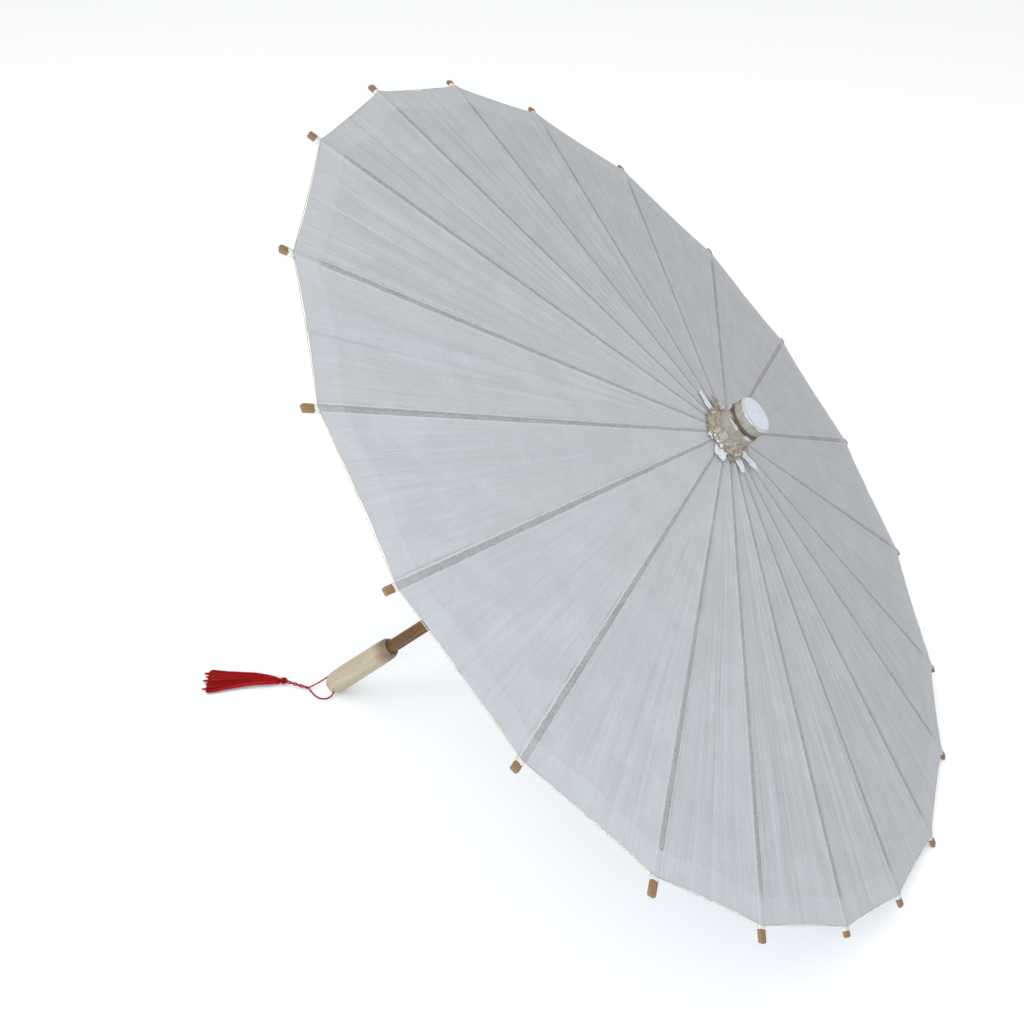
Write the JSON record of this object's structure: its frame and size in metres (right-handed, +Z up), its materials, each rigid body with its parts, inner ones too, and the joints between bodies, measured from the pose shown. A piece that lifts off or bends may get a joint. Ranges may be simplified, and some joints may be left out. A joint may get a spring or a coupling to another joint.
{
  "type": "oil paper umbrella",
  "caption": "Open paper parasol on bamboo ribs that fold with a sliding runner, with a turned crown, wooden grip and silk tassel, lying on its rim and grip.",
  "frame": {"origin": "middle of the lying umbrella's box without the tassel, on the floor it lies on", "axes": "+X along the pole's heading from the grip to the crown, +Y to its left, +Z up; the pole rises at 43 degrees"},
  "size_m": [0.7646, 0.857, 0.627],
  "materials": {
    "bamboo": "matte split bamboo",
    "split_bamboo": "matte split bamboo",
    "pole_wood": "stained, satin",
    "grip_wood": "turned, smooth, unvarnished",
    "crown_wood": "turned, matte",
    "runner_wood": "turned, matte",
    "oiled_paper": "oiled fibre paper, slightly translucent",
    "thread": "twisted cotton",
    "catch_brass": "dull brass strip",
    "red_silk": "silky twisted thread"
  },
  "bodies": {
    "stick": {"pole": "pole_wood", "handle_grip": "grip_wood", "crown_block": "crown_wood", "crown_disc_paper": "oiled_paper", "crown_paper": "oiled_paper", "canopy_paper": "oiled_paper", "hub_thread": "thread", "joint_thread": "thread", "rim_thread": "thread", "tassel_cord_far": "red_silk", "tassel_cord_near": "red_silk", "tassel_knot": "red_silk", "tassel_skirt": "red_silk"},
    "runner": {"runner": "runner_wood", "runner_thread": "thread"},
    "catch": {"catch_spring": "catch_brass"},
    "rib_01": {"rib_01": "bamboo"},
    "stretcher_01": {"stretcher_01": "split_bamboo"},
    "rib_02": {"rib_02": "bamboo"},
    "stretcher_02": {"stretcher_02": "split_bamboo"},
    "rib_03": {"rib_03": "bamboo"},
    "stretcher_03": {"stretcher_03": "split_bamboo"},
    "rib_04": {"rib_04": "bamboo"},
    "stretcher_04": {"stretcher_04": "split_bamboo"},
    "rib_05": {"rib_05": "bamboo"},
    "stretcher_05": {"stretcher_05": "split_bamboo"},
    "rib_06": {"rib_06": "bamboo"},
    "stretcher_06": {"stretcher_06": "split_bamboo"},
    "rib_07": {"rib_07": "bamboo"},
    "stretcher_07": {"stretcher_07": "split_bamboo"},
    "rib_08": {"rib_08": "bamboo"},
    "stretcher_08": {"stretcher_08": "split_bamboo"},
    "rib_09": {"rib_09": "bamboo"},
    "stretcher_09": {"stretcher_09": "split_bamboo"},
    "rib_10": {"rib_10": "bamboo"},
    "stretcher_10": {"stretcher_10": "split_bamboo"},
    "rib_11": {"rib_11": "bamboo"},
    "stretcher_11": {"stretcher_11": "split_bamboo"},
    "rib_12": {"rib_12": "bamboo"},
    "stretcher_12": {"stretcher_12": "split_bamboo"},
    "rib_13": {"rib_13": "bamboo"},
    "stretcher_13": {"stretcher_13": "split_bamboo"},
    "rib_14": {"rib_14": "bamboo"},
    "stretcher_14": {"stretcher_14": "split_bamboo"},
    "rib_15": {"rib_15": "bamboo"},
    "stretcher_15": {"stretcher_15": "split_bamboo"},
    "rib_16": {"rib_16": "bamboo"},
    "stretcher_16": {"stretcher_16": "split_bamboo"},
    "rib_17": {"rib_17": "bamboo"},
    "stretcher_17": {"stretcher_17": "split_bamboo"},
    "rib_18": {"rib_18": "bamboo"},
    "stretcher_18": {"stretcher_18": "split_bamboo"},
    "rib_19": {"rib_19": "bamboo"},
    "stretcher_19": {"stretcher_19": "split_bamboo"},
    "rib_20": {"rib_20": "bamboo"},
    "stretcher_20": {"stretcher_20": "split_bamboo"}
  },
  "joints": [
    {"name": "runner_slide", "type": "slide", "parent": "stick", "child": "runner", "axis": [-0.7353, 0, -0.6778], "range_m": [0, 0.29569], "deforming": ["canopy_paper", "joint_thread", "rim_thread"]},
    {"name": "catch_press", "type": "hinge", "parent": "stick", "child": "catch", "pos_m": [-0.03478, 0.00478, 0.26284], "axis": [-0.483, -0.7016, 0.5239], "range_deg": [-5.8, 0], "stiffness_Nm_per_rad": 0.3, "springref_deg": 2.86},
    {"name": "rib_01_fold", "type": "hinge", "parent": "stick", "child": "rib_01", "pos_m": [0.07247, -0.00584, 0.37506], "axis": [0.3285, -0.8747, -0.3563], "range_deg": [0, 77.35]},
    {"name": "stretcher_01_fold", "type": "hinge", "parent": "rib_01", "child": "stretcher_01", "pos_m": [-0.06231, -0.09369, 0.46646], "axis": [0.3285, -0.8747, -0.3563], "range_deg": [-154.7, 0]},
    {"name": "rib_02_fold", "type": "hinge", "parent": "stick", "child": "rib_02", "pos_m": [0.0713, -0.00077, 0.37632], "axis": [0.0994, -0.9892, -0.1079], "range_deg": [0, 77.35]},
    {"name": "stretcher_02_fold", "type": "hinge", "parent": "rib_02", "child": "stretcher_02", "pos_m": [-0.07754, -0.02737, 0.48297], "axis": [0.0994, -0.9892, -0.1079], "range_deg": [-154.7, 0]},
    {"name": "rib_03_fold", "type": "hinge", "parent": "stick", "child": "rib_03", "pos_m": [0.07134, 0.00395, 0.37628], "axis": [-0.1141, -0.9857, 0.1238], "range_deg": [0, 77.35]},
    {"name": "stretcher_03_fold", "type": "hinge", "parent": "rib_03", "child": "stretcher_03", "pos_m": [-0.07708, 0.03447, 0.48248], "axis": [-0.1141, -0.9857, 0.1238], "range_deg": [-154.7, 0]},
    {"name": "rib_04_fold", "type": "hinge", "parent": "stick", "child": "rib_04", "pos_m": [0.07237, 0.00843, 0.37517], "axis": [-0.3162, -0.8845, 0.3431], "range_deg": [0, 77.35]},
    {"name": "stretcher_04_fold", "type": "hinge", "parent": "rib_04", "child": "stretcher_04", "pos_m": [-0.06361, 0.093, 0.46787], "axis": [-0.3162, -0.8845, 0.3431], "range_deg": [-154.7, 0]},
    {"name": "rib_05_fold", "type": "hinge", "parent": "stick", "child": "rib_05", "pos_m": [0.07419, 0.01206, 0.37319], "axis": [-0.4805, -0.7053, 0.5212], "range_deg": [0, 77.35]},
    {"name": "stretcher_05_fold", "type": "hinge", "parent": "rib_05", "child": "stretcher_05", "pos_m": [-0.03978, 0.14056, 0.44201], "axis": [-0.4805, -0.7053, 0.5212], "range_deg": [-154.7, 0]},
    {"name": "rib_06_fold", "type": "hinge", "parent": "stick", "child": "rib_06", "pos_m": [0.07683, 0.01486, 0.37032], "axis": [-0.6069, -0.4452, 0.6584], "range_deg": [0, 77.35]},
    {"name": "stretcher_06_fold", "type": "hinge", "parent": "rib_06", "child": "stretcher_06", "pos_m": [-0.00518, 0.17717, 0.40448], "axis": [-0.6069, -0.4452, 0.6584], "range_deg": [-154.7, 0]},
    {"name": "rib_07_fold", "type": "hinge", "parent": "stick", "child": "rib_07", "pos_m": [0.08011, 0.01631, 0.36677], "axis": [-0.6726, -0.1234, 0.7297], "range_deg": [0, 77.35]},
    {"name": "stretcher_07_fold", "type": "hinge", "parent": "rib_07", "child": "stretcher_07", "pos_m": [0.03762, 0.19619, 0.35804], "axis": [-0.6726, -0.1234, 0.7297], "range_deg": [-154.7, 0]},
    {"name": "rib_08_fold", "type": "hinge", "parent": "stick", "child": "rib_08", "pos_m": [0.0832, 0.01618, 0.36342], "axis": [-0.6666, 0.1805, 0.7232], "range_deg": [0, 77.35]},
    {"name": "stretcher_08_fold", "type": "hinge", "parent": "rib_08", "child": "stretcher_08", "pos_m": [0.07805, 0.19447, 0.31418], "axis": [-0.6666, 0.1805, 0.7232], "range_deg": [-154.7, 0]},
    {"name": "rib_09_fold", "type": "hinge", "parent": "stick", "child": "rib_09", "pos_m": [0.08618, 0.01464, 0.36018], "axis": [-0.5968, 0.4739, 0.6475], "range_deg": [0, 77.35]},
    {"name": "stretcher_09_fold", "type": "hinge", "parent": "rib_09", "child": "stretcher_09", "pos_m": [0.11708, 0.17425, 0.27184], "axis": [-0.5968, 0.4739, 0.6475], "range_deg": [-154.7, 0]},
    {"name": "rib_10_fold", "type": "hinge", "parent": "stick", "child": "rib_10", "pos_m": [0.08877, 0.0117, 0.35737], "axis": [-0.4642, 0.7287, 0.5036], "range_deg": [0, 77.35]},
    {"name": "stretcher_10_fold", "type": "hinge", "parent": "rib_10", "child": "stretcher_10", "pos_m": [0.15097, 0.13584, 0.23507], "axis": [-0.4642, 0.7287, 0.5036], "range_deg": [-154.7, 0]},
    {"name": "rib_11_fold", "type": "hinge", "parent": "stick", "child": "rib_11", "pos_m": [0.09066, 0.00749, 0.35532], "axis": [-0.2738, 0.9148, 0.2971], "range_deg": [0, 77.35]},
    {"name": "stretcher_11_fold", "type": "hinge", "parent": "rib_11", "child": "stretcher_11", "pos_m": [0.17572, 0.08072, 0.20822], "axis": [-0.2738, 0.9148, 0.2971], "range_deg": [-154.7, 0]},
    {"name": "rib_12_fold", "type": "hinge", "parent": "stick", "child": "rib_12", "pos_m": [0.09141, 0.00368, 0.35451], "axis": [-0.1018, 0.9887, 0.1104], "range_deg": [0, 77.35]},
    {"name": "stretcher_12_fold", "type": "hinge", "parent": "rib_12", "child": "stretcher_12", "pos_m": [0.18555, 0.0309, 0.19755], "axis": [-0.1018, 0.9887, 0.1104], "range_deg": [-154.7, 0]},
    {"name": "rib_13_fold", "type": "hinge", "parent": "stick", "child": "rib_13", "pos_m": [0.09141, -0.00082, 0.35451], "axis": [0.1018, 0.9887, -0.1104], "range_deg": [0, 77.35]},
    {"name": "stretcher_13_fold", "type": "hinge", "parent": "rib_13", "child": "stretcher_13", "pos_m": [0.18555, -0.02804, 0.19755], "axis": [0.1018, 0.9887, -0.1104], "range_deg": [-154.7, 0]},
    {"name": "rib_14_fold", "type": "hinge", "parent": "stick", "child": "rib_14", "pos_m": [0.09063, -0.00474, 0.35536], "axis": [0.2786, 0.9116, -0.3023], "range_deg": [0, 77.35]},
    {"name": "stretcher_14_fold", "type": "hinge", "parent": "rib_14", "child": "stretcher_14", "pos_m": [0.1753, -0.07925, 0.20868], "axis": [0.2786, 0.9116, -0.3023], "range_deg": [-154.7, 0]},
    {"name": "rib_15_fold", "type": "hinge", "parent": "stick", "child": "rib_15", "pos_m": [0.08927, -0.008, 0.35683], "axis": [0.426, 0.7777, -0.4622], "range_deg": [0, 77.35]},
    {"name": "stretcher_15_fold", "type": "hinge", "parent": "rib_15", "child": "stretcher_15", "pos_m": [0.1575, -0.12194, 0.22799], "axis": [0.426, 0.7777, -0.4622], "range_deg": [-154.7, 0]},
    {"name": "rib_16_fold", "type": "hinge", "parent": "stick", "child": "rib_16", "pos_m": [0.08711, -0.01094, 0.35917], "axis": [0.5588, 0.5659, -0.6062], "range_deg": [0, 77.35]},
    {"name": "stretcher_16_fold", "type": "hinge", "parent": "rib_16", "child": "stretcher_16", "pos_m": [0.12931, -0.16039, 0.25857], "axis": [0.5588, 0.5659, -0.6062], "range_deg": [-154.7, 0]},
    {"name": "rib_17_fold", "type": "hinge", "parent": "stick", "child": "rib_17", "pos_m": [0.08444, -0.01287, 0.36207], "axis": [0.6458, 0.3032, -0.7007], "range_deg": [0, 77.35]},
    {"name": "stretcher_17_fold", "type": "hinge", "parent": "rib_17", "child": "stretcher_17", "pos_m": [0.09438, -0.1856, 0.29647], "axis": [0.6458, 0.3032, -0.7007], "range_deg": [-154.7, 0]},
    {"name": "rib_18_fold", "type": "hinge", "parent": "stick", "child": "rib_18", "pos_m": [0.08105, -0.01357, 0.36575], "axis": [0.6774, -0.0306, -0.7349], "range_deg": [0, 77.35]},
    {"name": "stretcher_18_fold", "type": "hinge", "parent": "rib_18", "child": "stretcher_18", "pos_m": [0.04997, -0.19474, 0.34465], "axis": [0.6774, -0.0306, -0.7349], "range_deg": [-154.7, 0]},
    {"name": "rib_19_fold", "type": "hinge", "parent": "stick", "child": "rib_19", "pos_m": [0.07753, -0.01247, 0.36956], "axis": [0.6279, -0.3764, -0.6812], "range_deg": [0, 77.35]},
    {"name": "stretcher_19_fold", "type": "hinge", "parent": "rib_19", "child": "stretcher_19", "pos_m": [0.00397, -0.1804, 0.39454], "axis": [0.6279, -0.3764, -0.6812], "range_deg": [-154.7, 0]},
    {"name": "rib_20_fold", "type": "hinge", "parent": "stick", "child": "rib_20", "pos_m": [0.07462, -0.0098, 0.37272], "axis": [0.5075, -0.6628, -0.5506], "range_deg": [0, 77.35]},
    {"name": "stretcher_20_fold", "type": "hinge", "parent": "rib_20", "child": "stretcher_20", "pos_m": [-0.03413, -0.14553, 0.43588], "axis": [0.5075, -0.6628, -0.5506], "range_deg": [-154.7, 0]}
  ],
  "couplings": [
    {"joint": "rib_01_fold", "follows": "runner_slide", "rad_per_m": 4.5627},
    {"joint": "stretcher_01_fold", "follows": "runner_slide", "rad_per_m": -9.1255},
    {"joint": "rib_02_fold", "follows": "runner_slide", "rad_per_m": 4.5627},
    {"joint": "stretcher_02_fold", "follows": "runner_slide", "rad_per_m": -9.1255},
    {"joint": "rib_03_fold", "follows": "runner_slide", "rad_per_m": 4.5627},
    {"joint": "stretcher_03_fold", "follows": "runner_slide", "rad_per_m": -9.1255},
    {"joint": "rib_04_fold", "follows": "runner_slide", "rad_per_m": 4.5627},
    {"joint": "stretcher_04_fold", "follows": "runner_slide", "rad_per_m": -9.1255},
    {"joint": "rib_05_fold", "follows": "runner_slide", "rad_per_m": 4.5627},
    {"joint": "stretcher_05_fold", "follows": "runner_slide", "rad_per_m": -9.1255},
    {"joint": "rib_06_fold", "follows": "runner_slide", "rad_per_m": 4.5627},
    {"joint": "stretcher_06_fold", "follows": "runner_slide", "rad_per_m": -9.1255},
    {"joint": "rib_07_fold", "follows": "runner_slide", "rad_per_m": 4.5627},
    {"joint": "stretcher_07_fold", "follows": "runner_slide", "rad_per_m": -9.1255},
    {"joint": "rib_08_fold", "follows": "runner_slide", "rad_per_m": 4.5627},
    {"joint": "stretcher_08_fold", "follows": "runner_slide", "rad_per_m": -9.1255},
    {"joint": "rib_09_fold", "follows": "runner_slide", "rad_per_m": 4.5627},
    {"joint": "stretcher_09_fold", "follows": "runner_slide", "rad_per_m": -9.1255},
    {"joint": "rib_10_fold", "follows": "runner_slide", "rad_per_m": 4.5627},
    {"joint": "stretcher_10_fold", "follows": "runner_slide", "rad_per_m": -9.1255},
    {"joint": "rib_11_fold", "follows": "runner_slide", "rad_per_m": 4.5627},
    {"joint": "stretcher_11_fold", "follows": "runner_slide", "rad_per_m": -9.1255},
    {"joint": "rib_12_fold", "follows": "runner_slide", "rad_per_m": 4.5627},
    {"joint": "stretcher_12_fold", "follows": "runner_slide", "rad_per_m": -9.1255},
    {"joint": "rib_13_fold", "follows": "runner_slide", "rad_per_m": 4.5627},
    {"joint": "stretcher_13_fold", "follows": "runner_slide", "rad_per_m": -9.1255},
    {"joint": "rib_14_fold", "follows": "runner_slide", "rad_per_m": 4.5627},
    {"joint": "stretcher_14_fold", "follows": "runner_slide", "rad_per_m": -9.1255},
    {"joint": "rib_15_fold", "follows": "runner_slide", "rad_per_m": 4.5627},
    {"joint": "stretcher_15_fold", "follows": "runner_slide", "rad_per_m": -9.1255},
    {"joint": "rib_16_fold", "follows": "runner_slide", "rad_per_m": 4.5627},
    {"joint": "stretcher_16_fold", "follows": "runner_slide", "rad_per_m": -9.1255},
    {"joint": "rib_17_fold", "follows": "runner_slide", "rad_per_m": 4.5627},
    {"joint": "stretcher_17_fold", "follows": "runner_slide", "rad_per_m": -9.1255},
    {"joint": "rib_18_fold", "follows": "runner_slide", "rad_per_m": 4.5627},
    {"joint": "stretcher_18_fold", "follows": "runner_slide", "rad_per_m": -9.1255},
    {"joint": "rib_19_fold", "follows": "runner_slide", "rad_per_m": 4.5627},
    {"joint": "stretcher_19_fold", "follows": "runner_slide", "rad_per_m": -9.1255},
    {"joint": "rib_20_fold", "follows": "runner_slide", "rad_per_m": 4.5627},
    {"joint": "stretcher_20_fold", "follows": "runner_slide", "rad_per_m": -9.1255}
  ]
}
